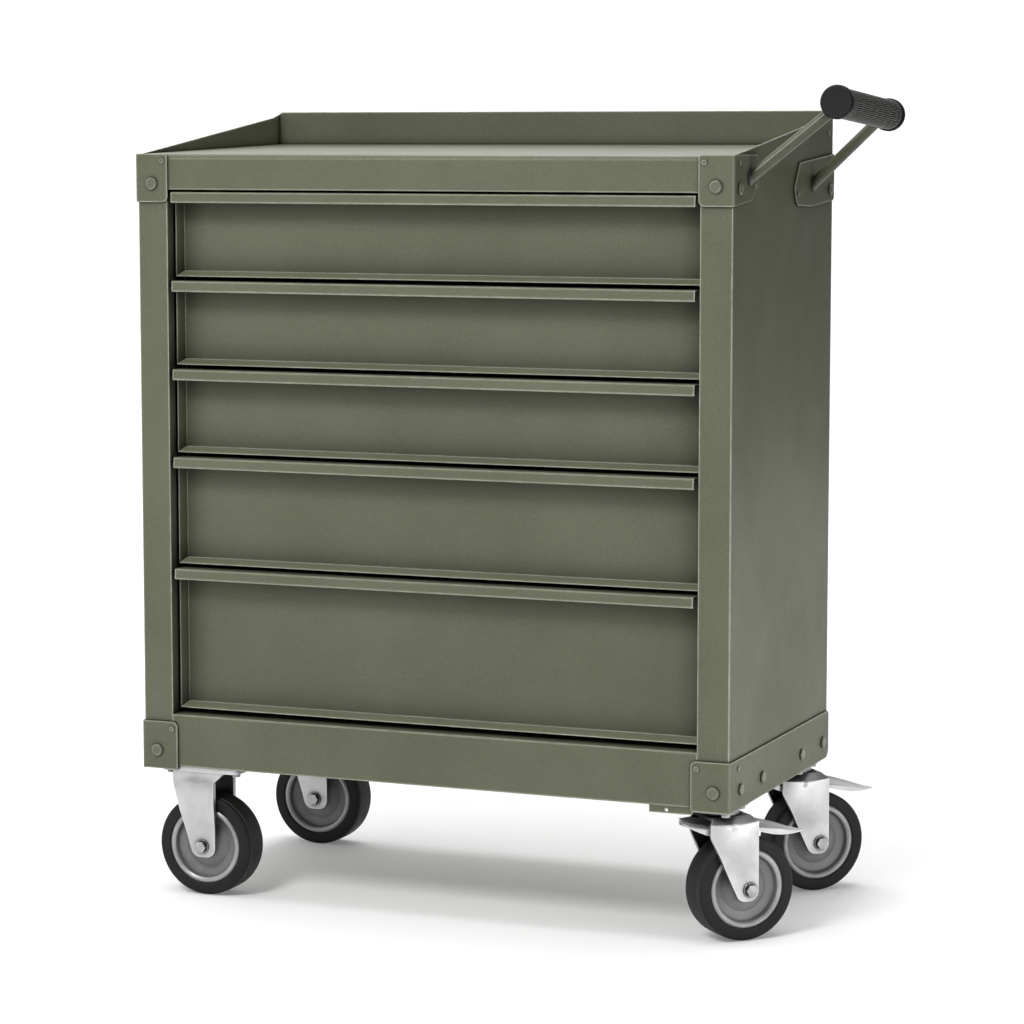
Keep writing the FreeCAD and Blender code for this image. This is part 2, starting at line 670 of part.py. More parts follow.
def front_and_rear(shape):
    """A part above the front swivel castor and its mirror image above the rear one."""
    front, rear = SWIVEL_Y
    flipped = shape.mirror(V(0, 0, 0), V(0, 1, 0))
    return [at_castor(shape, SWIVEL_X, front), at_castor(flipped, SWIVEL_X, rear)]


def castor_mounts():
    fixed = [at_castor(fixed_mount(), FIXED_X, y) for y in FIXED_Y]
    return Part.makeCompound(fixed + front_and_rear(swivel_mount()))


def castor_gussets():
    return Part.makeCompound(front_and_rear(swivel_gusset()))


def castor_bolts():
    """Hexagon heads under the corners of each mounting plate."""
    spots = [(FIXED_X + x, y + end * 20.0) for x in (-45.0, 45.0) for y in FIXED_Y for end in (-1, 1)]
    spots += [(SWIVEL_X + x, y + end * 28.0) for x in (-40.0, 14.0) for y in SWIVEL_Y for end in (-1, 1)]
    heads = [hexagon(10.0, 4.0, V(x, y, PLATE_BOTTOM_Z), V(0, 0, -1)) for x, y in spots]
    return Part.makeCompound(heads)


# ---------------------------------------------------------------- the whole chest

def cabinet_nodes():
    right_panel = right_side_panel()
    post = right_post()
    lower_cap = lower_right_cap()
    levels = [floor + RUNNER_LIFT for _, _, floor, _ in drawer_levels()]
    cabinet_runners = [runner_pair(cabinet_runner, level) for level in levels]
    return {
        "left_side_panel": mirrored(right_panel),
        "right_side_panel": right_panel,
        "back_panel": back_panel(),
        "bottom_pan": bottom_pan(),
        "top_tray": top_tray(),
        "front_left_post": mirrored(post),
        "front_right_post": post,
        "bottom_rail": bottom_rail(),
        "upper_left_cap": upper_left_cap(),
        "upper_right_cap": upper_right_cap(),
        "lower_left_cap": mirrored(lower_cap),
        "lower_right_cap": lower_cap,
        "cap_bolts": cap_bolts(),
        "cap_rivets": cap_rivets(),
        "runner_uprights": runner_uprights(),
        "cabinet_runners": Part.makeCompound(cabinet_runners),
        "rear_handle_bracket": rear_handle_bracket(),
        "handle_frame": handle_frame(),
        "handle_grip": handle_grip(),
        "grip_end_caps": grip_end_caps(),
        "castor_mounts": castor_mounts(),
        "castor_gussets": castor_gussets(),
        "castor_bolts": castor_bolts(),
    }


def drawer_nodes():
    nodes = {}
    for number, (top, bottom, pan_floor, pan_rim) in enumerate(drawer_levels(), start=1):
        name = "drawer_%d_" % number
        nodes[name + "front"] = drawer_front(top, bottom)
        nodes[name + "pull"] = drawer_pull(top)
        nodes[name + "pan"] = drawer_pan(pan_floor, pan_rim)
        nodes[name + "runners"] = runner_pair(drawer_runner, pan_floor + RUNNER_LIFT)
    return nodes


def castor_nodes():
    nodes = {}
    forks = [at_castor(fixed_fork(), FIXED_X, y) for y in FIXED_Y]
    nodes["fixed_castor_forks"] = Part.makeCompound(forks)
    axles = []
    for end, y in zip(("front", "rear"), FIXED_Y):
        centre = V(FIXED_X, y, WHEEL_RADIUS)
        axles += [solid.translated(centre) for solid in wheel_pin(FORK_OUTER)]
        nodes[end + "_left_tyre"] = tyre().translated(centre)
        nodes[end + "_left_hub"] = hub().translated(centre)
    nodes["fixed_castor_axles"] = Part.makeCompound(axles)
    axle_offset = V(TRAIL, 0, WHEEL_RADIUS)
    for end, y, angle in zip(("front", "rear"), SWIVEL_Y, SWIVEL_ANGLES):
        name = end + "_right_"
        pieces = {
            "fork": swivel_fork(),
            "pins": Part.makeCompound(swivel_pins()),
            "pedal": brake_pedal(),
            "tyre": tyre().translated(axle_offset),
            "hub": hub().translated(axle_offset),
        }
        for piece, shape in pieces.items():
            nodes[name + piece] = at_castor(shape, SWIVEL_X, y, angle)
    return nodes


def all_nodes():
    nodes = cabinet_nodes()
    nodes.update(drawer_nodes())
    nodes.update(castor_nodes())
    return nodes


def footprint_shift(nodes):
    """The move that puts the middle of the chest's bounding box at X = Y = 0 and its wheels on Z = 0."""
    bounds = FreeCAD.BoundBox()
    for shape in nodes.values():
        bounds.add(shape.optimalBoundingBox(False, False))
    return V(-(bounds.XMin + bounds.XMax) / 2, -(bounds.YMin + bounds.YMax) / 2, -bounds.ZMin)


def export_parts():
    os.makedirs("parts", exist_ok=True)
    nodes = all_nodes()
    shift = footprint_shift(nodes)
    for name, shape in nodes.items():
        moved = shape.translated(shift)
        moved.exportStep("parts/" + name + ".step")
    return nodes, shift


if __name__ == "__main__":
    built, moved_by = export_parts()
    print(len(built), "nodes, moved by", moved_by)
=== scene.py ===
import json
import math

import bmesh
import bpy
from mathutils import Matrix, Vector, noise

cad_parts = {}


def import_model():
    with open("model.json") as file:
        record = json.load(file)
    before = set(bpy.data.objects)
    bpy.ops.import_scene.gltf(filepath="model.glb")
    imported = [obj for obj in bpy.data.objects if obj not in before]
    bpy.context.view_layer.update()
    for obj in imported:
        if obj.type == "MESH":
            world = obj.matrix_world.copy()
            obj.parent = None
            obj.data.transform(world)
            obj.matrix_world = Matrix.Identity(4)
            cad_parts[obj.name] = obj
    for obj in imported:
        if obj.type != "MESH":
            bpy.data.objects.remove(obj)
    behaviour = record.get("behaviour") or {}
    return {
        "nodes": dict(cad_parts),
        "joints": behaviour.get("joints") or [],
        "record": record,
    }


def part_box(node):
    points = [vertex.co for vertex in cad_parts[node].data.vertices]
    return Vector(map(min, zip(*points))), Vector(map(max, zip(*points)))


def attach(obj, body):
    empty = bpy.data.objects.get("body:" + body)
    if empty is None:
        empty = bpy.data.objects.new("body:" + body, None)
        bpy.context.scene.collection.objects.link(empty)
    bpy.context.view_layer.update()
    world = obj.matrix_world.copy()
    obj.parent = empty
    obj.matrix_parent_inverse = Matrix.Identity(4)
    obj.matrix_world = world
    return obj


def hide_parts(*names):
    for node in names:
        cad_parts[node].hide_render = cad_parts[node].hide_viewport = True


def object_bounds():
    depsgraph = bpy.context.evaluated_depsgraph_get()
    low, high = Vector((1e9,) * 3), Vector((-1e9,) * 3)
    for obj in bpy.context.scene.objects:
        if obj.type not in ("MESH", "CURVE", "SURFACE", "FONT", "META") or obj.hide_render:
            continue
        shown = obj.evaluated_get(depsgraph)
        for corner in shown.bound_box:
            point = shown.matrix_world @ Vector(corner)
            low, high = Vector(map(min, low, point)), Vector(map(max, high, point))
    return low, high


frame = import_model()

# The looks of the rolling tool chest, in metres, round the CAD frame.
CAD_LOW, CAD_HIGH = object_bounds()

# Camera: its angle, its distance from the cabinet's middle and where it aims beside that middle.
CAMERA_AZIMUTH = 22.3
CAMERA_ELEVATION = 6.48
CAMERA_DISTANCE = 4.067
CAMERA_LENS = 115.7
AIM_RIGHT = 0.029
AIM_UP = -0.090

# Sheet metal
SHEET = 0.0015
SHEET_CORNER = 0.0015
TRAY_FOLD_RADIUS = 0.0055
PULL_SLANT = 0.0010
PULL_HEM = 0.0055
FRONT_RIM = 0.0012
FRONT_SIDE_BORDER = 0.0052
FRONT_BOTTOM_BORDER = 0.0068
FRONT_BACKING = 0.0012

# Wheels and grip
WHEEL_SEGMENTS = 128
TYRE_RADIUS = 0.0622
TYRE_HALF_WIDTH = 0.02
RIM_RADIUS = 0.0475
HUB_HALF_WIDTH = 0.0225
GRIP_RADIUS = 0.0176
GRIP_RIBS = 46
GRIP_RIB_HEIGHT = 0.0013
GRIP_CAP_RADIUS = 0.0195
GRIP_CAP_HALF = 0.0045

# Forks and pedals; PEDAL_PIN_REACH is where the pedal's pin meets the outside of the bulged legs
FORK_INNER = 0.024
FORK_OUTER = 0.027
FORK_BULGE = 0.0058
FORK_REACH = 0.12
CROWN_ABOVE_AXLE = 0.0905
PEDAL_SHEET = 0.0018
PEDAL_DISH = 0.0026
PEDAL_TILT = 0.2
PEDAL_PIN_REACH = 0.0329
# Along the pedal from its pin: (distance, half width, top, bottom edge), heights above the floor
PEDAL_TONGUE = [
    (-0.0500, 0.0120, 0.1462, 0.1415), (-0.0485, 0.0145, 0.1465, 0.1385),
    (-0.0420, 0.0172, 0.1463, 0.1355), (-0.0320, 0.0200, 0.1460, 0.1312)]
PEDAL_MIDDLE = [
    (-0.0250, 0.0200, 0.1450, 0.1290), (-0.0120, 0.0200, 0.1440, 0.1300),
    (0.0180, 0.0200, 0.1440, 0.1302), (0.0300, 0.0198, 0.1426, 0.1305)]
PEDAL_BLADE = [
    (0.0450, 0.0176, 0.1398, 0.1274), (0.0600, 0.0150, 0.1362, 0.1232),
    (0.0750, 0.0112, 0.1319, 0.1206), (0.0900, 0.0070, 0.1267, 0.1195),
    (0.1000, 0.0040, 0.1239, 0.1198), (0.1070, 0.0018, 0.1222, 0.1206), (0.1088, 0.0009, 0.1216, 0.1208)]


# ---------------------------------------------------------------- where things are

def body_of_node(node):
    for body, members in frame["record"]["behaviour"]["bodies"].items():
        if node in members:
            return body
    raise KeyError(node)


def islands(node):
    """The separate solids of a node: for each, its lowest corner, highest corner and vertices."""
    mesh = bmesh.new()
    mesh.from_mesh(frame["nodes"][node].data)
    bmesh.ops.remove_doubles(mesh, verts=mesh.verts, dist=1e-6)
    unseen = set(mesh.verts)
    found = []
    while unseen:
        stack = [unseen.pop()]
        points = []
        while stack:
            vertex = stack.pop()
            points.append(vertex.co.copy())
            for edge in vertex.link_edges:
                other = edge.other_vert(vertex)
                if other in unseen:
                    unseen.remove(other)
                    stack.append(other)
        low = Vector([min(p[i] for p in points) for i in range(3)])
        high = Vector([max(p[i] for p in points) for i in range(3)])
        found.append((low, high, points))
    mesh.free()
    return sorted(found, key=lambda item: tuple(round(c, 5) for c in item[0]))


# ---------------------------------------------------------------- material nodes

def new_material(name):
    material = bpy.data.materials.new(name)
    material.use_nodes = True
    nodes = material.node_tree.nodes
    nodes.clear()
    output = nodes.new("ShaderNodeOutputMaterial")
    shader = nodes.new("ShaderNodeBsdfPrincipled")
    material.node_tree.links.new(shader.outputs["BSDF"], output.inputs["Surface"])
    return material, shader


def add_node(material, kind, **values):
    """A node with its sockets and properties set by name; spaces are written as underscores."""
    node = material.node_tree.nodes.new(kind)
    for key, value in values.items():
        socket = node.inputs.get(key.replace("_", " "))
        if socket is not None:
            socket.default_value = value
        else:
            setattr(node, key, value)
    return node


def link(material, source, target):
    material.node_tree.links.new(source, target)


def object_coordinates(material):
    return add_node(material, "ShaderNodeTexCoord").outputs["Object"]


def noise_field(material, scale, detail=3.0, roughness=0.5, stretch=(1.0, 1.0, 1.0)):
    mapping = add_node(material, "ShaderNodeMapping")
    mapping.inputs["Scale"].default_value = stretch
    field = add_node(material, "ShaderNodeTexNoise", Scale=scale, Detail=detail, Roughness=roughness)
    link(material, object_coordinates(material), mapping.inputs["Vector"])
    link(material, mapping.outputs["Vector"], field.inputs["Vector"])
    return field.outputs["Fac"]


def ramp(material, source, stops):
    """A colour ramp through (position, colour) stops, where a colour may be one grey level."""
    node = add_node(material, "ShaderNodeValToRGB")
    elements = node.color_ramp.elements
    while len(elements) < len(stops):
        elements.new(0.5)
    for element, (position, colour) in zip(elements, stops):
        element.position = position
        level = (colour, colour, colour) if isinstance(colour, float) else colour
        element.color = (*level, 1.0)
    link(material, source, node.inputs["Fac"])
    return node.outputs["Color"]


def blend_colours(material, factor, first, second, mode="MIX"):
    node = material.node_tree.nodes.new("ShaderNodeMix")
    node.data_type = "RGBA"
    node.blend_type = mode
    for socket, value in ((node.inputs[0], factor), (node.inputs[6], first), (node.inputs[7], second)):
        if isinstance(value, bpy.types.NodeSocket):
            link(material, value, socket)
        else:
            socket.default_value = value
    return node.outputs[2]


def arithmetic(material, operation, first, second=0.0, third=0.5):
    node = add_node(material, "ShaderNodeMath", operation=operation)
    for socket, value in zip(node.inputs, (first, second, third)):
        if isinstance(value, bpy.types.NodeSocket):
            link(material, value, socket)
        else:
            socket.default_value = value
    return node.outputs[0]


def edge_mask(material, radius, low, high):
    """White along convex and concave edges, from how far a rounded normal leans off the true one."""
    bevel = add_node(material, "ShaderNodeBevel", samples=4, Radius=radius)
    geometry = add_node(material, "ShaderNodeNewGeometry")
    dot = add_node(material, "ShaderNodeVectorMath", operation="DOT_PRODUCT")
    link(material, bevel.outputs["Normal"], dot.inputs[0])
    link(material, geometry.outputs["Normal"], dot.inputs[1])
    lean = arithmetic(material, "SUBTRACT", 1.0, dot.outputs["Value"])
    return ramp(material, lean, [(low, 0.0), (high, 1.0)])


def crevice_shade(material, distance, darkest, low=0.35, high=0.95):
    """A painted shade factor: near 1 on open surfaces and down to darkest in corners and seams within the
    distance.
    """
    occlusion = add_node(material, "ShaderNodeAmbientOcclusion", samples=6, Distance=distance)
    return ramp(material, occlusion.outputs["AO"], [(low, darkest), (high, 1.0)])


def worn_highlit_and_shaded(material, colour, edge_radius, worn_highlight_colour, amount, distance, darkest, seam=0.15):
    """Rubs the convex edges paler, partly as wear and partly as a painted edge highlight, and darkens the
    corners and seams of a colour with painted shade.
    """
    seams = crevice_shade(material, 0.004, 0.0)
    open_parts = ramp(material, seams, [(0.55, 0.0), (0.85, 1.0)])
    # The paler edges are partly wear and partly a painted edge highlight.
    wear_and_highlight = arithmetic(material, "MULTIPLY", edge_mask(material, edge_radius, 0.004, 0.07), open_parts)
    patchy = ramp(material, noise_field(material, 70.0, 4.0), [(0.35, 0.65), (0.6, 1.0)])
    wear_and_highlight = arithmetic(material, "MULTIPLY", wear_and_highlight, patchy)
    wear_and_highlight = arithmetic(material, "MULTIPLY", wear_and_highlight, amount)
    rubbed_and_highlit = blend_colours(material, wear_and_highlight, colour, worn_highlight_colour)
    # Painted shade in corners and recesses within the distance.
    shaded = blend_colours(material, 1.0, rubbed_and_highlit, crevice_shade(material, distance, darkest), "MULTIPLY")
    # Painted shade: seams and the rings round heads darkened as if in shadow.
    painted_seam_shade = ramp(material, seams, [(0.3, seam), (0.88, 1.0)])
    return blend_colours(material, 1.0, shaded, painted_seam_shade, "MULTIPLY")


def bump(material, shader, height, strength, distance, below=None):
    node = add_node(material, "ShaderNodeBump", Strength=strength, Distance=distance)
    link(material, height, node.inputs["Height"])
    if below is not None:
        link(material, below, node.inputs["Normal"])
    link(material, node.outputs["Normal"], shader.inputs["Normal"])
    return node.outputs["Normal"]


# ---------------------------------------------------------------- materials

def powder_coat(name, shade_reach, darkest, roughness=(0.42, 0.54), specular=0.17, edge_radius=0.0026,
                seam=0.15, lightness=1.0):
    """Olive green powder coat: a fine orange peel, faint clouding, scuffs and paler rubbed edges, the paler
    edges partly wear and partly a painted edge highlight, with painted shade darkening its corners and
    seams.
    """
    material, shader = new_material(name)
    clouds = noise_field(material, 5.0, 5.0, 0.55)
    speckle = noise_field(material, 420.0, 2.0)
    base = ramp(material, clouds, [(0.35, (0.096, 0.104, 0.066)), (0.65, (0.116, 0.124, 0.082))])
    # lightness makes lighter or darker copies of the same paint, which is painted light or painted shade.
    grain = ramp(material, speckle, [(0.3, 0.92 * lightness), (0.7, 1.08 * lightness)])
    colour = blend_colours(material, 1.0, base, grain, "MULTIPLY")
    # Pale rubbed edges, partly wear and partly a painted highlight, and painted shade in the corners and
    # seams.
    colour = worn_highlit_and_shaded(material, colour, edge_radius, (0.52, 0.53, 0.44, 1.0), 0.9, shade_reach,
                             darkest, seam)
    link(material, colour, shader.inputs["Base Color"])
    low, high = roughness
    gloss = ramp(material, noise_field(material, 14.0, 6.0, 0.6), [(0.3, low), (0.7, high)])
    link(material, gloss, shader.inputs["Roughness"])
    peel = bump(material, shader, noise_field(material, 900.0, 2.0), 0.2, 0.0003)
    bump(material, shader, noise_field(material, 9.0, 3.0), 0.12, 0.0015, peel)
    shader.inputs["Specular IOR Level"].default_value = specular
    return material


def zinc_plate(name, shade_reach, darkest, metallic=0.85):
    """Bright zinc on pressed steel: soft grain, cloudy patches, corners greyed with painted shade and pale
    edges that are partly wear and partly a painted edge highlight.
    """
    material, shader = new_material(name)
    clouds = noise_field(material, 26.0, 6.0, 0.6)
    colour = ramp(material, clouds, [(0.3, (0.4, 0.4, 0.4)), (0.7, (0.58, 0.58, 0.58))])
    colour = worn_highlit_and_shaded(material, colour, 0.0016, (0.9, 0.9, 0.9, 1.0), 0.8, shade_reach, darkest)
    link(material, colour, shader.inputs["Base Color"])
    shader.inputs["Metallic"].default_value = metallic
    grain = noise_field(material, 300.0, 4.0, 0.6, (1.0, 1.0, 0.08))
    link(material, ramp(material, clouds, [(0.3, 0.3), (0.7, 0.42)]), shader.inputs["Roughness"])
    bump(material, shader, grain, 0.12, 0.0003)
    return material


def bright_fastener():
    material, shader = new_material("bright_fastener")
    clouds = noise_field(material, 90.0, 4.0)
    colour = ramp(material, clouds, [(0.3, 0.28), (0.7, 0.42)])
    # Pale edges, partly wear and partly a painted highlight, and painted shade round the nuts and washers.
    colour = worn_highlit_and_shaded(material, colour, 0.0008, (0.9, 0.9, 0.9, 1.0), 0.8, 0.008, 0.06)
    link(material, colour, shader.inputs["Base Color"])
    shader.inputs["Metallic"].default_value = 0.9
    link(material, ramp(material, clouds, [(0.3, 0.22), (0.7, 0.36)]), shader.inputs["Roughness"])
    bump(material, shader, noise_field(material, 700.0, 3.0), 0.1, 0.0002)
    return material


def tyre_rubber():
    """Black tyre rubber, slightly dusty, with fine scuffing round the tread, pale shoulder edges that are
    partly wear and partly a painted highlight, and painted shade in its grooves.
    """
    material, shader = new_material("tyre_rubber")
    dust = noise_field(material, 40.0, 8.0, 0.65)
    colour = ramp(material, dust, [(0.3, (0.008, 0.008, 0.008)), (0.75, (0.018, 0.018, 0.017))])
    colour = worn_highlit_and_shaded(material, colour, 0.0014, (0.2, 0.2, 0.2, 1.0), 0.8, 0.012, 0.3)
    link(material, colour, shader.inputs["Base Color"])
    link(material, ramp(material, dust, [(0.3, 0.5), (0.7, 0.68)]), shader.inputs["Roughness"])
    bump(material, shader, noise_field(material, 500.0, 5.0, 0.7), 0.25, 0.0004)
    shader.inputs["Specular IOR Level"].default_value = 0.2
    return material


def grip_rubber():
    material, shader = new_material("grip_rubber")
    rub = noise_field(material, 60.0, 6.0, 0.6)
    colour = ramp(material, rub, [(0.3, (0.11, 0.11, 0.1)), (0.7, (0.17, 0.17, 0.155))])
    # Painted shade in the grooves between the ribs; the edges are rubbed paler, partly as wear and partly as
    # a painted highlight.
    colour = worn_highlit_and_shaded(material, colour, 0.0005, (0.24, 0.24, 0.22, 1.0), 0.6, 0.0015, 0.05)
    link(material, colour, shader.inputs["Base Color"])
    link(material, ramp(material, rub, [(0.3, 0.48), (0.7, 0.66)]), shader.inputs["Roughness"])
    bump(material, shader, noise_field(material, 900.0, 4.0), 0.2, 0.0002)
    shader.inputs["Specular IOR Level"].default_value = 0.3
    return material


def cap_rubber():
    material, shader = new_material("cap_rubber")
    rub = noise_field(material, 45.0, 5.0)
    colour = ramp(material, rub, [(0.3, (0.007, 0.007, 0.007)), (0.7, (0.013, 0.013, 0.012))])
    # Pale rims, partly wear and partly a painted highlight, and painted shade in the seams.
    colour = worn_highlit_and_shaded(material, colour, 0.0008, (0.09, 0.09, 0.09, 1.0), 0.6, 0.004, 0.4)
    link(material, colour, shader.inputs["Base Color"])
    link(material, ramp(material, rub, [(0.3, 0.5), (0.7, 0.62)]), shader.inputs["Roughness"])
    bump(material, shader, noise_field(material, 800.0, 3.0), 0.15, 0.0002)
    shader.inputs["Specular IOR Level"].default_value = 0.18
    return material


def hub_plastic():
    """Grey moulded wheel centre, paler along its edges where the boss has rubbed and as a painted highlight,
    with painted shade in its dish and near the fork.
    """
    material, shader = new_material("hub_plastic")
    clouds = noise_field(material, 35.0, 5.0, 0.6)
    colour = ramp(material, clouds, [(0.3, (0.2, 0.2, 0.205)), (0.7, (0.27, 0.27, 0.275))])
    colour = worn_highlit_and_shaded(material, colour, 0.0012, (0.5, 0.5, 0.5, 1.0), 0.6, 0.03, 0.25)
    link(material, colour, shader.inputs["Base Color"])
    link(material, ramp(material, clouds, [(0.3, 0.34), (0.7, 0.48)]), shader.inputs["Roughness"])
    bump(material, shader, noise_field(material, 600.0, 3.0), 0.12, 0.0002)
    return material


def rim_ring():
    material, shader = new_material("rim_ring")
    clouds = noise_field(material, 50.0, 5.0)
    colour = ramp(material, clouds, [(0.3, (0.3, 0.3, 0.31)), (0.7, (0.4, 0.4, 0.41))])
    # Pale edges, partly wear and partly a painted highlight, and painted shade in the groove beside the
    # disc.
    colour = worn_highlit_and_shaded(material, colour, 0.001, (0.7, 0.7, 0.7, 1.0), 0.6, 0.01, 0.4)
    link(material, colour, shader.inputs["Base Color"])
    shader.inputs["Metallic"].default_value = 0.35
    link(material, ramp(material, clouds, [(0.3, 0.3), (0.7, 0.42)]), shader.inputs["Roughness"])
    bump(material, shader, noise_field(material, 700.0, 3.0), 0.1, 0.0002)
    return material


def studio_floor():
    """A pale floor with painted light: it glows faintly near the cabinet, which lightens the shadows there,
    and a little more with distance, so that it fades into the backdrop.
    """
    material, shader = new_material("studio_floor")
    tone = noise_field(material, 1.5, 3.0)
    link(material, ramp(material, tone, [(0.3, 0.86), (0.7, 0.88)]), shader.inputs["Base Color"])
    reach = add_node(material, "ShaderNodeVectorMath", operation="LENGTH")
    link(material, object_coordinates(material), reach.inputs[0])
    share = arithmetic(material, "DIVIDE", reach.outputs["Value"], 4.0)
    glow = ramp(material, share, [(0.15, 0.14), (0.9, 0.6)])
    link(material, glow, shader.inputs["Emission Strength"])
    shader.inputs["Emission Color"].default_value = (1.0, 1.0, 1.0, 1.0)
    shader.inputs["Roughness"].default_value = 0.9
    shader.inputs["Specular IOR Level"].default_value = 0.1
    return material


def flag_card():
    material, shader = new_material("flag_card")
    link(material, ramp(material, noise_field(material, 8.0), [(0.3, 0.02), (0.7, 0.04)]),
         shader.inputs["Base Color"])
    shader.inputs["Roughness"].default_value = 0.95
    return material


MATERIALS = {
    "green_paint": powder_coat("olive_powder_coat", shade_reach=0.014, darkest=0.4),
    # Fastener paint with deep painted shade round each head and a brighter painted highlight on its rim.
    "green_fastener": powder_coat("olive_fastener_paint", shade_reach=0.008, darkest=0.1,
                                  roughness=(0.24, 0.34), specular=0.4, edge_radius=0.0016, seam=0.05),
    # Zinc with deep painted shade inside the forks and between their legs.
    "zinc": zinc_plate("zinc_plate", shade_reach=0.06, darkest=0.06),
    "fastener_zinc": bright_fastener(),
    "tyre": tyre_rubber(),
    "grip_rubber": grip_rubber(),
    "cap_rubber": cap_rubber(),
    "hub_grey": hub_plastic(),
}
# A copy of the paint with wide painted shade: a painted shadow under each pull and in the sunk fronts'
# corners.
SHADED_FRONT_PAINT = powder_coat("olive_powder_coat_fronts_painted_shadow", shade_reach=0.04, darkest=0.1)
# A lighter, glossier copy of the paint for the upward slopes of the drawer fronts: painted light.
LIT_SLOPE_PAINT = powder_coat("olive_powder_coat_slopes_painted_light", shade_reach=0.004, darkest=0.9,
                          roughness=(0.34, 0.44), specular=0.4, edge_radius=0.0032, seam=0.9, lightness=1.45)
# A copy of the paint with deep painted shade, which darkens the posts' inner returns beside the drawers.
SHADED_POST_PAINT = powder_coat("olive_powder_coat_posts_painted_shade", shade_reach=0.05, darkest=0.06)
TRAY_PAINT = powder_coat("olive_powder_coat_tray", shade_reach=0.014, darkest=0.5, roughness=(0.3, 0.4),
                         specular=0.6)
# A darker, glossier copy of the paint for the handle: painted shade.
SHADED_HANDLE_PAINT = powder_coat("olive_powder_coat_handle_painted_darker", shade_reach=0.014, darkest=0.2,
                           roughness=(0.26, 0.36), specular=0.3, edge_radius=0.0007, lightness=0.72)
PEDAL_ZINC = zinc_plate("zinc_plate_pedals", shade_reach=0.004, darkest=0.3, metallic=0.35)
RIM_RING = rim_ring()


# ---------------------------------------------------------------- mesh building

def shade(mesh, sharp_degrees=35.0):
    mesh.polygons.foreach_set("use_smooth", [True] * len(mesh.polygons))
    mesh.set_sharp_from_angle(angle=math.radians(sharp_degrees))


def add_piece(name, built, slot, nodes, material=None, sharp_degrees=35.0):
    """Turns a bmesh into a piece that stands for CAD nodes and rides on their body."""
    bmesh.ops.recalc_face_normals(built, faces=built.faces)
    mesh = bpy.data.meshes.new(name)
    built.to_mesh(mesh)
    built.free()
    shade(mesh, sharp_degrees)
    piece = bpy.data.objects.new(name, mesh)
    bpy.context.scene.collection.objects.link(piece)
    mesh.materials.append(material or MATERIALS[slot])
    weighted = piece.modifiers.new("weighted_normals", "WEIGHTED_NORMAL")
    weighted.keep_sharp = True
    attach(piece, body_of_node(nodes[0]))
    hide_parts(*nodes)
    return piece


def second_material(piece, material, belongs):
    """Gives a piece one more material on the faces for which belongs is true."""
    piece.data.materials.append(material)
    for polygon in piece.data.polygons:
        if belongs(polygon):
            polygon.material_index = 1
    return piece


def round_edges(built, width, segments=2, angle=30.0):
    """Rounds every edge whose faces meet at more than the angle."""
    limit = math.radians(angle)
    sharp = [e for e in built.edges if len(e.link_faces) == 2 and e.calc_face_angle(0.0) > limit]
    bmesh.ops.bevel(built, geom=sharp, offset=width, segments=segments, profile=0.5,
                    affect="EDGES", clamp_overlap=True)


def cad_shape(node):
    """A CAD node's own shape with its flat faces merged."""
    built = bmesh.new()
    built.from_mesh(frame["nodes"][node].data)
    bmesh.ops.remove_doubles(built, verts=built.verts, dist=2e-6)
    bmesh.ops.dissolve_limit(built, angle_limit=math.radians(0.6), verts=built.verts, edges=built.edges)
    return built


def refined(node, slot, bevel=0.0005, segments=2, angle=30.0, material=None):
    """A piece with a CAD node's own shape and its sharp edges rounded."""
    built = cad_shape(node)
    round_edges(built, bevel, segments, angle)
    return add_piece(node + "_body", built, slot, [node], material)


def rounded_path(points, radius, steps=5):
    """The path through points with each inner corner turned on an arc of the radius."""
    result = [Vector(points[0])]
    for before, corner, after in zip(points, points[1:], points[2:]):
        before, corner, after = Vector(before), Vector(corner), Vector(after)
        a = (before - corner).normalized()
        b = (after - corner).normalized()
        half_angle = a.angle(b) / 2
        reach = min(radius / math.tan(half_angle), (before - corner).length * 0.48,
                    (after - corner).length * 0.48)
        actual = reach * math.tan(half_angle)
        centre = corner + (a + b).normalized() * (actual / math.sin(half_angle))
        start = (corner + a * reach) - centre
        end = (corner + b * reach) - centre
        turn = start.angle_signed(end)
        for i in range(steps + 1):
            angle = -turn * i / steps
            spoke = Vector((start.x * math.cos(angle) - start.y * math.sin(angle),
                            start.x * math.sin(angle) + start.y * math.cos(angle)))
            result.append(centre + spoke)
    result.append(Vector(points[-1]))
    return result


def sheet_outline(path, thickness):
    """A closed outline: the path and the same path moved to its left by the thickness."""
    moved = []
    for i, point in enumerate(path):
        before = path[max(i - 1, 0)]
        after = path[min(i + 1, len(path) - 1)]
        along = (after - before).normalized()
        moved.append(point + Vector((-along.y, along.x)) * thickness)
    return list(path) + moved[::-1]


def swept(outline, place, low, high, end_bevel=0.0003):
    """A prism: the outline at low and at high, joined; place turns (u, v, w) into a point."""
    built = bmesh.new()
    rings = [[built.verts.new(place(p[0], p[1], w)) for p in outline] for w in (low, high)]
    count = len(outline)
    for i in range(count):
        j = (i + 1) % count
        built.faces.new((rings[0][i], rings[0][j], rings[1][j], rings[1][i]))
    built.faces.new(rings[0][::-1])
    built.faces.new(rings[1])
    bmesh.ops.recalc_face_normals(built, faces=built.faces)
    round_edges(built, end_bevel, 2, 60.0)
    return built


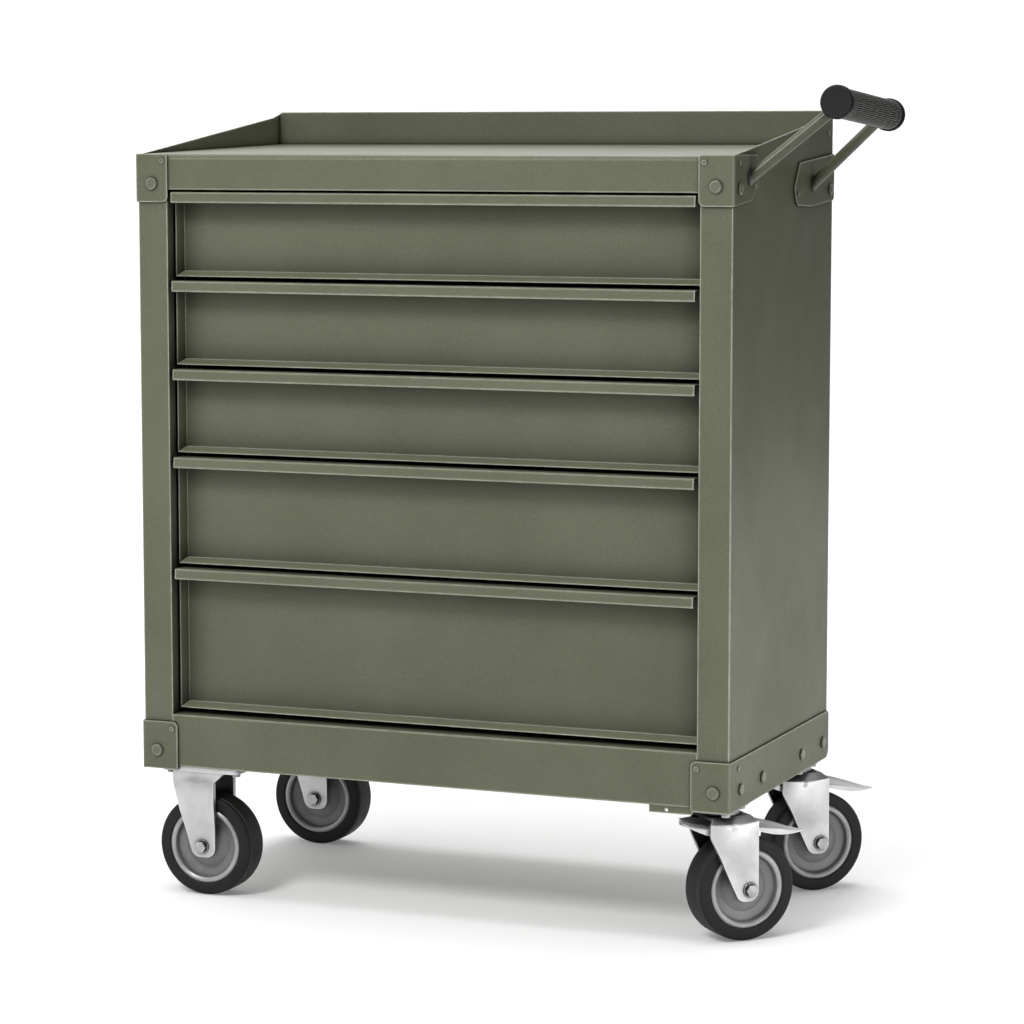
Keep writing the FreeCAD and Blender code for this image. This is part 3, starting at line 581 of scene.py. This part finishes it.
def lathe(profile, centre, axis, segments=WHEEL_SEGMENTS, into=None):
    """A turned form from (radius, height along axis) points; a radius of 0 closes it at a point."""
    built = into or bmesh.new()
    turn = axis.to_track_quat("Z", "Y")
    rings = []
    for radius, height in profile:
        if radius == 0.0:
            rings.append([built.verts.new(centre + turn @ Vector((0, 0, height)))])
            continue
        ring = []
        for i in range(segments):
            angle = 2 * math.pi * i / segments
            local = Vector((radius * math.cos(angle), radius * math.sin(angle), height))
            ring.append(built.verts.new(centre + turn @ local))
        rings.append(ring)
    for lower, upper in zip(rings, rings[1:]):
        for i in range(segments):
            j = (i + 1) % segments
            if len(lower) == 1:
                built.faces.new((lower[0], upper[i], upper[j]))
            elif len(upper) == 1:
                built.faces.new((lower[i], lower[j], upper[0]))
            else:
                built.faces.new((lower[i], lower[j], upper[j], upper[i]))
    return built


def arc(centre_radius, centre_height, radius, start, end, steps=6):
    """Points of a turned profile on an arc, from the start to the end angle in degrees."""
    points = []
    for i in range(steps + 1):
        angle = math.radians(start + (end - start) * i / steps)
        points.append((centre_radius + radius * math.cos(angle),
                       centre_height + radius * math.sin(angle)))
    return points


def along_cabinet(u, v, w):
    """Places a section, with u towards the back and v upwards, at w along the cabinet's width."""
    return Vector((w, u, v))


# ---------------------------------------------------------------- drawers

def drawer_pull(number):
    """The folded pull rail: flat top, rounded nose, a face that slants out and a tucked hem."""
    node = "drawer_%d_pull" % number
    low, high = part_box(node)
    path = [Vector((high.y, high.z)), Vector((low.y + PULL_SLANT, high.z)), Vector((low.y, low.z)),
            Vector((low.y + PULL_HEM, low.z + 0.0008))]
    outline = sheet_outline(rounded_path(path, 0.0019, 6), SHEET)
    built = swept(outline, along_cabinet, low.x, high.x, 0.0006)
    return add_piece("drawer_%d_pull_rail" % number, built, "green_paint", [node])


def drawer_front(number):
    """The sunk front: an outer rim, mitred slopes at its sides and bottom, and a flat panel."""
    node = "drawer_%d_front" % number
    low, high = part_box(node)
    panel_y = high.y - FRONT_BACKING
    rings = [(0.0, 0.0, high.y), (0.0, 0.0, low.y), (FRONT_RIM, FRONT_RIM, low.y),
             (FRONT_SIDE_BORDER, FRONT_BOTTOM_BORDER, panel_y)]
    built = bmesh.new()
    loops = []
    for side, rise, y in rings:
        corners = [(low.x + side, high.z), (low.x + side, low.z + rise),
                   (high.x - side, low.z + rise), (high.x - side, high.z)]
        loops.append([built.verts.new((x, y, z)) for x, z in corners])
    for outer, inner in zip(loops, loops[1:]):
        for i in range(3):
            built.faces.new((outer[i], outer[i + 1], inner[i + 1], inner[i]))
    built.faces.new(loops[-1])
    built.faces.new(loops[0][::-1])
    left_top = [loop[0] for loop in loops]
    right_top = [loop[3] for loop in loops]
    built.faces.new(left_top + right_top[::-1])
    bmesh.ops.recalc_face_normals(built, faces=built.faces)
    round_edges(built, 0.0011, 3, 15.0)
    piece = add_piece("drawer_%d_front_panel" % number, built, "green_paint", [node], SHADED_FRONT_PAINT)
    # The upward facing slopes take the lighter copy of the paint, which is painted light.
    return second_material(piece, LIT_SLOPE_PAINT, lambda face: face.normal.z > 0.3)


def drawers():
    for number in range(1, 6):
        drawer_pull(number)
        drawer_front(number)
        refined("drawer_%d_pan" % number, "green_paint", 0.0003)
        refined("drawer_%d_runners" % number, "zinc", 0.0002)


# ---------------------------------------------------------------- cabinet

def front_top(node, reach):
    """The greatest height of a CAD node within reach of its front edge."""
    low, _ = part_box(node)
    return max(v.co.z for v in frame["nodes"][node].data.vertices if v.co.y < low.y + reach)


def joined(parts):
    """One bmesh holding several."""
    whole = bmesh.new()
    for part in parts:
        mesh = bpy.data.meshes.new("part")
        part.to_mesh(mesh)
        part.free()
        whole.from_mesh(mesh)
        bpy.data.meshes.remove(mesh)
    return whole


def top_tray():
    """The tray's climbing floor with its long rounded front fold, and the fascia under it."""
    low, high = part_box("top_tray")
    between_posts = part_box("front_left_post")[1].x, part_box("front_right_post")[0].x
    fold_z = front_top("top_tray", TRAY_FOLD_RADIUS)
    bend = rounded_path([(high.y, high.z), (low.y, fold_z), (low.y, low.z)], TRAY_FOLD_RADIUS, 10)[:-1]
    floor_sheet = swept(sheet_outline(bend, SHEET), along_cabinet, low.x, high.x, 0.0002)
    drop = rounded_path([bend[-1], (low.y, low.z), (low.y + 0.015, low.z)], SHEET_CORNER, 4)
    fascia = swept(sheet_outline(drop, SHEET), along_cabinet, between_posts[0], between_posts[1], 0.0002)
    piece = add_piece("tray_and_fascia", joined([floor_sheet, fascia]), "green_paint", ["top_tray"])
    return second_material(piece, TRAY_PAINT, lambda face: face.normal.z > 0.7)


def bottom_rail():
    """The rail under the drawers, folded back at its bottom and over at its top."""
    low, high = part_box("bottom_rail")
    path = [Vector((low.y + 0.018, low.z)), Vector((low.y, low.z)), Vector((low.y, high.z)),
            Vector((high.y, high.z)), Vector((high.y, high.z - 0.012))]
    lower = rounded_path(path[:3], SHEET_CORNER, 4)[:-1]
    upper = rounded_path(path[1:4], SHEET_CORNER * 1.2, 8)[1:-1]
    back = rounded_path(path[2:], SHEET_CORNER, 4)[1:]
    outline = sheet_outline(lower + upper + back, -SHEET)
    built = swept(outline, along_cabinet, low.x, high.x, 0.0002)
    return add_piece("bottom_rail_fold", built, "green_paint", ["bottom_rail"])


def plain_sheets():
    for node in ("left_side_panel", "right_side_panel", "back_panel"):
        refined(node, "green_paint", 0.0006, 3)
    for node in ("front_left_post", "front_right_post"):
        # The posts take the copy of the paint with deep painted shade.
        refined(node, "green_paint", 0.0005, material=SHADED_POST_PAINT)
    for node in ("bottom_pan", "runner_uprights"):
        refined(node, "green_paint", 0.0005)
    for node in ("upper_left_cap", "upper_right_cap", "lower_left_cap", "lower_right_cap",
                 "rear_handle_bracket"):
        refined(node, "green_paint", 0.0009, 3, 40.0)
    refined("cabinet_runners", "zinc", 0.0002)


def head_direction(low, high):
    """The axis across a fastener head, which is the way it is thinnest, pointing off the cabinet."""
    size = high - low
    if size.y < size.x:
        return Vector((0, -1, 0))
    cabinet_middle = (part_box("left_side_panel")[0].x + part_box("right_side_panel")[1].x) / 2
    return Vector((1 if low.x > cabinet_middle else -1, 0, 0))


def fastener_heads(node, name):
    """Round heads with an upright edge and a low crown, one where each CAD head is."""
    built = bmesh.new()
    for low, high, _ in islands(node):
        direction = head_direction(low, high)
        size = high - low
        height = min(size)
        radius = sorted(size)[1] / 2
        centre = (low + high) / 2 - direction * height / 2
        profile = [(0.0, 0.0), (radius, 0.0), (radius, height * 0.5), (radius * 0.97, height * 0.62),
                   (radius * 0.82, height * 0.9), (radius * 0.76, height * 0.95), (0.0, height)]
        lathe(profile, centre, direction, 40, built)
    return add_piece(name, built, "green_fastener", [node], sharp_degrees=50.0)


# ---------------------------------------------------------------- handle

def grip_axis():
    """The ends of the grip's axis, from the two end caps."""
    ends = islands("grip_end_caps")
    front = min(ends, key=lambda item: item[0].y)
    rear = max(ends, key=lambda item: item[0].y)
    return (front[0] + front[1]) / 2, (rear[0] + rear[1]) / 2


def grip_sleeve():
    """The rubber sleeve: fine ribs along its length that waver a little, and a smooth band each end."""
    front, rear = grip_axis()
    axis = (rear - front).normalized()
    start = front + axis * GRIP_CAP_HALF
    length = (rear - front).length - 2 * GRIP_CAP_HALF
    around = GRIP_RIBS * 6
    along = 64
    turn = axis.to_track_quat("Z", "Y")
    built = bmesh.new()
    rings = []
    for k in range(along + 1):
        share = k / along
        edge = min(share, 1.0 - share) * length
        fade = min(1.0, max(0.0, (edge - 0.003) / 0.002))
        ring = []
        for i in range(around):
            angle = 2 * math.pi * i / around
            sway = 0.5 * math.sin(share * 46.0 + 2.0 * noise.noise(Vector((angle * 3, share * 9, 0.5))))
            rib = abs(math.sin(angle * GRIP_RIBS / 2 + sway))
            radius = GRIP_RADIUS - GRIP_RIB_HEIGHT * (1.0 - rib) * fade
            local = Vector((radius * math.cos(angle), radius * math.sin(angle), share * length))
            ring.append(built.verts.new(start + turn @ local))
        rings.append(ring)
    for lower, upper in zip(rings, rings[1:]):
        for i in range(around):
            j = (i + 1) % around
            built.faces.new((lower[i], lower[j], upper[j], upper[i]))
    built.faces.new(rings[0][::-1])
    built.faces.new(rings[-1])
    return add_piece("ribbed_grip_sleeve", built, "grip_rubber", ["handle_grip"], sharp_degrees=60.0)


def grip_caps():
    """Smooth end caps with a rounded rim and a face that is dished very slightly."""
    front, rear = grip_axis()
    axis = (rear - front).normalized()
    built = bmesh.new()
    radius = GRIP_CAP_RADIUS
    half = GRIP_CAP_HALF
    corner = 0.0022
    dished = [(0.0, half - 0.0005), (radius * 0.6, half - 0.0004), (radius - corner - 0.001, half - 0.0001)]
    rim = arc(radius - corner, half - corner, corner, 90, 0)
    behind = [(radius, -half + 0.0012), (radius - 0.0012, -half), (0.0, -half)]
    profile = dished + rim + behind
    for centre, outward in ((front, -axis), (rear, axis)):
        lathe(profile, centre, outward, 96, built)
    return add_piece("grip_caps", built, "cap_rubber", ["grip_end_caps"], sharp_degrees=60.0)


# ---------------------------------------------------------------- wheels

def wheel_frame(node):
    """A wheel's centre and the unit vector along its axle, from its joint."""
    body = body_of_node(node)
    joint = next(j for j in frame["joints"] if j["child"] == body)
    return Vector(joint["pos_m"]), Vector(joint["axis"]).normalized()


def tyre(node):
    """A tyre with rounded shoulders, a bead against the rim and a fine groove inside each shoulder."""
    centre, axle = wheel_frame(node)
    half = TYRE_HALF_WIDTH
    outer = TYRE_RADIUS
    shoulder = 0.0045
    bead = [(RIM_RADIUS, half - 0.0012), (RIM_RADIUS + 0.0012, half - 0.0002), (RIM_RADIUS + 0.0025, half)]
    wall = [(outer - shoulder - 0.0015, half)] + arc(outer - shoulder, half - shoulder, shoulder, 80, 12)
    tread = [(outer, half - 0.0056), (outer - 0.0009, half - 0.0062), (outer - 0.0009, half - 0.0072),
             (outer + 0.0001, half - 0.0078), (outer + 0.0003, 0.006), (outer + 0.0003, 0.0)]
    upper = bead + wall + tread
    profile = upper + [(r, -h) for r, h in reversed(upper[:-1])]
    profile.append(profile[0])
    built = lathe(profile, centre, axle)
    bmesh.ops.remove_doubles(built, verts=built.verts, dist=1e-7)
    return add_piece(node + "_rubber", built, "tyre", [node], sharp_degrees=50.0)


def hub(node):
    """The wheel's moulded centre: bore, boss, dished disc and a raised pale ring inside the tyre."""
    centre, axle = wheel_frame(node)
    half = TYRE_HALF_WIDTH
    bore = 0.00405
    boss = 0.0142
    end_face = [(bore, HUB_HALF_WIDTH), (boss, HUB_HALF_WIDTH)]
    end_face = end_face + arc(boss, HUB_HALF_WIDTH - 0.0008, 0.0008, 80, 0, 4)
    disc = [(0.0168, half - 0.0036), (0.0178, half - 0.0052), (0.0275, half - 0.0098),
            (0.0285, half - 0.0100), (0.0292, half - 0.0094), (0.0380, half - 0.0080),
            (0.0392, half - 0.0072), (0.0402, half - 0.0026), (0.0408, half - 0.0012)]
    ring = arc(0.0440, half - 0.0020, 0.0022, 140, 40)
    ring = ring + [(0.0468, half - 0.0012), (RIM_RADIUS - 0.0001, half - 0.0018)]
    upper = end_face + disc + ring
    profile = upper + [(r, -h) for r, h in reversed(upper)]
    profile.append(profile[0])
    built = lathe(profile, centre, axle)
    bmesh.ops.remove_doubles(built, verts=built.verts, dist=1e-7)
    piece = add_piece(node + "_centre", built, "hub_grey", [node], sharp_degrees=50.0)
    ring_start = 0.0405
    return second_material(piece, RIM_RING,
                           lambda face: (face.center - centre).cross(axle).length > ring_start)


def slice_evenly(built, start, direction, length, count):
    """Cuts extra edges across a mesh at even steps, so that flat faces can be curved."""
    for i in range(count + 1):
        geometry = built.verts[:] + built.edges[:] + built.faces[:]
        spot = start + direction * (length * i / count)
        bmesh.ops.bisect_plane(built, geom=geometry, plane_co=spot, plane_no=direction, dist=1e-6)


def bulge_legs(built, centre, axle):
    """Curves the outer faces of the legs at one wheel, most near the crown and not at the axle."""
    across = axle.cross(Vector((0.0, 0.0, 1.0))).normalized()
    near = [v for v in built.verts if (v.co - centre).length < FORK_REACH]
    upper = [(v.co - centre).dot(across) for v in near if v.co.z > centre.z + 0.06]
    middle = (min(upper) + max(upper)) / 2
    half = (max(upper) - min(upper)) / 2
    for vertex in near:
        offset = vertex.co - centre
        along = offset.dot(axle)
        depth = (abs(along) - FORK_INNER) / (FORK_OUTER - FORK_INNER)
        if depth <= 0.0:
            continue
        share = min(1.0, abs(offset.dot(across) - middle) / half)
        rise = min(1.0, max(0.0, (offset.z - 0.012) / 0.05))
        fall = min(1.0, max(0.0, (centre.z + CROWN_ABOVE_AXLE - vertex.co.z) / 0.012))
        swell = rise * rise * (3 - 2 * rise) * fall
        push = FORK_BULGE * min(1.0, depth) * (1.0 - share * share) * swell
        vertex.co += axle * math.copysign(push, along)


def pressed_fork(node, hubs):
    """The forks of a node with rounded edges and legs that are pressed slightly outwards."""
    built = cad_shape(node)
    round_edges(built, 0.0013, 3, 30.0)
    for hub_node in hubs:
        centre, axle = wheel_frame(hub_node)
        across = axle.cross(Vector((0.0, 0.0, 1.0))).normalized()
        slice_evenly(built, centre - across * 0.07, across, 0.14, 24)
    slice_evenly(built, Vector((0, 0, 0.055)), Vector((0, 0, 1)), 0.095, 14)
    for hub_node in hubs:
        bulge_legs(built, *wheel_frame(hub_node))
    return add_piece(node + "_pressed", built, "zinc", [node], sharp_degrees=40.0)


def swivel_pins(end):
    """The axle bolt set and the pedal pin, which ends level with the outside of the fork's legs."""
    node = end + "_right_pins"
    centre, axle = wheel_frame(end + "_right_hub")
    built = cad_shape(node)
    round_edges(built, 0.0005, 2, 40.0)
    for vertex in built.verts:
        along = (vertex.co - centre).dot(axle)
        if vertex.co.z > centre.z + 0.05 and abs(along) > FORK_INNER:
            vertex.co -= axle * (along - math.copysign(PEDAL_PIN_REACH, along))
    return add_piece(node + "_turned", built, "fastener_zinc", [node])


def pedal_section(half, top, bottom):
    """A pedal's cross-section: upright flanges, rolled rims and a dished middle, leaning to one side."""
    narrow = min(1.0, half / 0.012)
    rim = 0.0013 * narrow
    dish = PEDAL_DISH * narrow
    sheet = PEDAL_SHEET * (0.35 + 0.65 * narrow)
    side = [(half, bottom), (half, top - rim), (half - 0.3 * rim, top - 0.3 * rim), (half - rim, top),
            (half - 2.0 * rim, top - 0.15 * rim), (half - 3.6 * rim, top - 0.75 * dish),
            (half * 0.35, top - dish)]
    inner = [(max(half - sheet, 0.0002), bottom)]
    inner = inner + [(max(y - sheet, 0.0002), z - sheet) for y, z in side[1:]]
    outside = [(-y, z) for y, z in side] + side[::-1]
    inside = [(-y, z) for y, z in inner] + inner[::-1]
    return [(y, max(bottom, z - PEDAL_TILT * (half - y))) for y, z in outside + inside[::-1]]


def pedal(end):
    """The brake pedal: one pressed leaf with rolled rims, pointed at one end and blunt at the other."""
    node = end + "_right_pedal"
    joint = next(j for j in frame["joints"] if j["name"] == end + "_right_brake")
    side = Vector(joint["axis"]).normalized()
    forward = Vector((0.0, 0.0, 1.0)).cross(side)
    lean = math.copysign(1.0, side.y)
    pivot = Vector((joint["pos_m"][0], joint["pos_m"][1], 0.0))
    built = bmesh.new()
    rings = []
    for reach, half, top, bottom in PEDAL_TONGUE + PEDAL_MIDDLE + PEDAL_BLADE:
        points = pedal_section(half, top, bottom)
        rings.append([built.verts.new(pivot + forward * reach + side * (lean * y) + Vector((0, 0, z)))
                      for y, z in points])
    count = len(rings[0])
    for first, second in zip(rings, rings[1:]):
        for i in range(count):
            j = (i + 1) % count
            built.faces.new((first[i], first[j], second[j], second[i]))
    built.faces.new(rings[0][::-1])
    built.faces.new(rings[-1])
    return add_piece(node + "_leaf", built, "zinc", [node], PEDAL_ZINC, sharp_degrees=50.0)


def castors():
    for side in ("left", "right"):
        for end in ("front", "rear"):
            tyre("%s_%s_tyre" % (end, side))
            hub("%s_%s_hub" % (end, side))
    for end in ("front", "rear"):
        pressed_fork(end + "_right_fork", [end + "_right_hub"])
        swivel_pins(end)
        pedal(end)
    pressed_fork("fixed_castor_forks", ["front_left_hub", "rear_left_hub"])
    refined("fixed_castor_axles", "fastener_zinc", 0.0005, 2, 40.0)
    refined("castor_mounts", "zinc", 0.0006, 2, 40.0)
    refined("castor_gussets", "green_paint", 0.0004, 2, 40.0)
    refined("castor_bolts", "fastener_zinc", 0.0005, 2, 40.0)


# ---------------------------------------------------------------- studio

def stage_sheet(name, corners, material):
    mesh = bpy.data.meshes.new(name)
    mesh.from_pydata(corners, [], [(0, 1, 2, 3)])
    mesh.materials.append(material)
    sheet = bpy.data.objects.new(name, mesh)
    bpy.context.scene.collection.objects.link(sheet)
    return sheet


def floor():
    size = 60.0
    corners = [(-size, -size, 0), (size, -size, 0), (size, size, 0), (-size, size, 0)]
    stage_sheet("studio_floor", corners, studio_floor())


def flag():
    """A black card out of sight to the right, which shades the upper part of that side."""
    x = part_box("right_side_panel")[1].x + 0.5
    near, far, low, high = -0.45, 2.2, 0.42, 2.2
    corners = [(x, near, low), (x, far, low), (x, far, high), (x, near, high)]
    card = stage_sheet("studio_flag", corners, flag_card())
    card.visible_camera = False
    card.visible_shadow = False


def area_light(name, place, target, size, power):
    data = bpy.data.lights.new(name, "AREA")
    data.shape = "RECTANGLE"
    data.size, data.size_y = size
    data.energy = power
    light = bpy.data.objects.new(name, data)
    light.location = place
    light.rotation_mode = "QUATERNION"
    light.rotation_quaternion = (target - place).to_track_quat("-Z", "Y")
    light.visible_camera = False
    bpy.context.scene.collection.objects.link(light)
    return light


def lights():
    """A soft key from the upper left front, an overhead box, and a fill and a strip low on the right."""
    middle = (CAD_LOW + CAD_HIGH) / 2
    area_light("key", middle + Vector((-0.6, -2.9, 2.6)), middle, (1.1, 1.1), 78.0)
    area_light("overhead", middle + Vector((0.0, 0.2, 2.6)), middle, (2.0, 2.0), 56.0)
    foot = Vector((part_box("right_side_panel")[1].x, 0.0, 0.16))
    area_light("low_fill", foot + Vector((0.6, -0.1, 0.0)), foot, (0.8, 0.2), 1.2)
    area_light("strip", foot + Vector((1.05, -0.62, 0.1)), foot, (0.12, 0.7), 1.9)


def world():
    """A plain white surround, dimmer towards the right and the front, that gives the sides their tone."""
    surround = bpy.data.worlds.new("studio")
    surround.use_nodes = True
    background = surround.node_tree.nodes["Background"]
    direction = add_node(surround, "ShaderNodeTexCoord").outputs["Generated"]
    parts = add_node(surround, "ShaderNodeSeparateXYZ")
    link(surround, direction, parts.inputs["Vector"])
    sideways = arithmetic(surround, "MULTIPLY_ADD", parts.outputs["X"], 0.4)
    turned = arithmetic(surround, "MULTIPLY_ADD", parts.outputs["Y"], -0.25, sideways)
    tone = ramp(surround, turned, [(0.28, 1.0), (0.42, 0.6), (0.5, 0.5), (0.75, 0.34), (0.95, 0.14)])
    link(surround, tone, background.inputs["Color"])
    background.inputs["Strength"].default_value = 1.1
    bpy.context.scene.world = surround


def camera():
    azimuth = math.radians(CAMERA_AZIMUTH)
    elevation = math.radians(CAMERA_ELEVATION)
    back = Vector((math.sin(azimuth) * math.cos(elevation), -math.cos(azimuth) * math.cos(elevation),
                   math.sin(elevation)))
    right = Vector((math.cos(azimuth), math.sin(azimuth), 0.0))
    up = right.cross(-back)
    left_low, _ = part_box("left_side_panel")
    _, right_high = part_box("right_side_panel")
    aim = (left_low + right_high) / 2 + right * AIM_RIGHT + up * AIM_UP
    data = bpy.data.cameras.new("camera")
    data.sensor_width = 36.0
    data.lens = CAMERA_LENS
    data.clip_end = 200.0
    eye = bpy.data.objects.new("camera", data)
    eye.location = aim + back * CAMERA_DISTANCE
    eye.rotation_mode = "QUATERNION"
    eye.rotation_quaternion = Matrix((right, up, back)).transposed().to_quaternion()
    bpy.context.scene.collection.objects.link(eye)
    bpy.context.scene.camera = eye


camera()
lights()
world()
floor()
flag()
drawers()
top_tray()
bottom_rail()
plain_sheets()
fastener_heads("cap_bolts", "cap_bolt_heads")
fastener_heads("cap_rivets", "cap_rivet_heads")
# The handle takes the darker copy of the paint, which is painted shade.
refined("handle_frame", "green_paint", 0.0006, 2, 50.0, SHADED_HANDLE_PAINT)
grip_sleeve()
grip_caps()
castors()
bpy.context.scene.view_settings.view_transform = "Standard"
